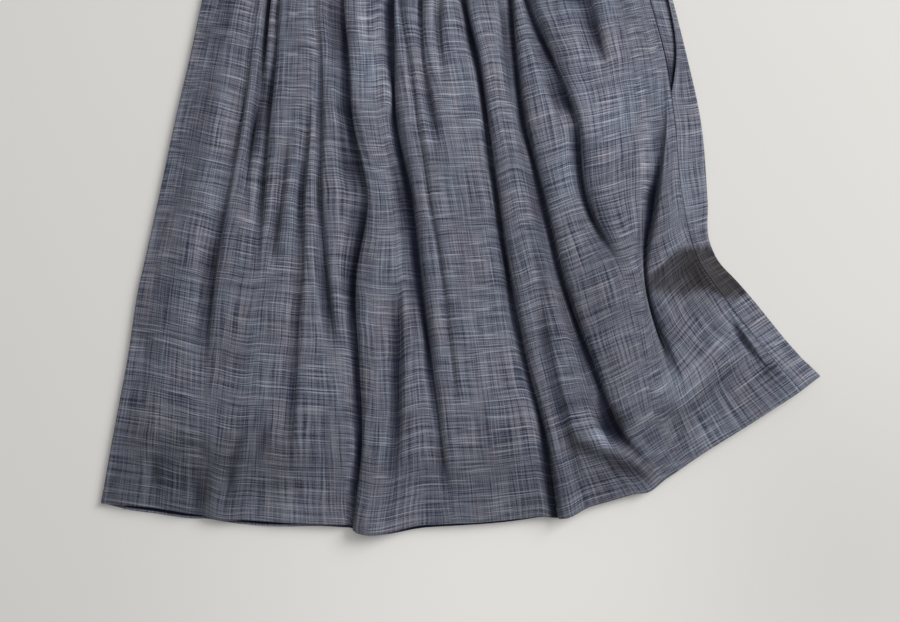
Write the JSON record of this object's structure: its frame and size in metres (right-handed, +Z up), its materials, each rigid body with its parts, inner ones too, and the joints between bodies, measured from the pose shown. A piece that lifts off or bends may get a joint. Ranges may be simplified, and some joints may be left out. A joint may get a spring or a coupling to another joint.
{
  "type": "pleated midi skirt",
  "caption": "Gathered, softly pleated midi skirt in slub chambray, laid flat front up, with an elasticated waistband, a side-seam pocket and a hem that swings out to one side.",
  "frame": {"origin": "on the surface that the skirt lies on, under the middle of its outer box", "axes": "+X to the right as it lies front up, +Y from hem to waist, +Z up from the surface"},
  "size_m": [0.7169, 0.7904, 0.0184],
  "materials": {
    "shell_cloth": "woven cotton chambray, slubs both ways, soft sheen",
    "band_cloth": "the same chambray, gathered over elastic",
    "pocket_cloth": "the same chambray"
  },
  "bodies": {
    "root": {"front_panel": "shell_cloth", "back_panel": "shell_cloth", "waistband": "band_cloth", "pocket_right": "pocket_cloth"}
  },
  "joints": []
}
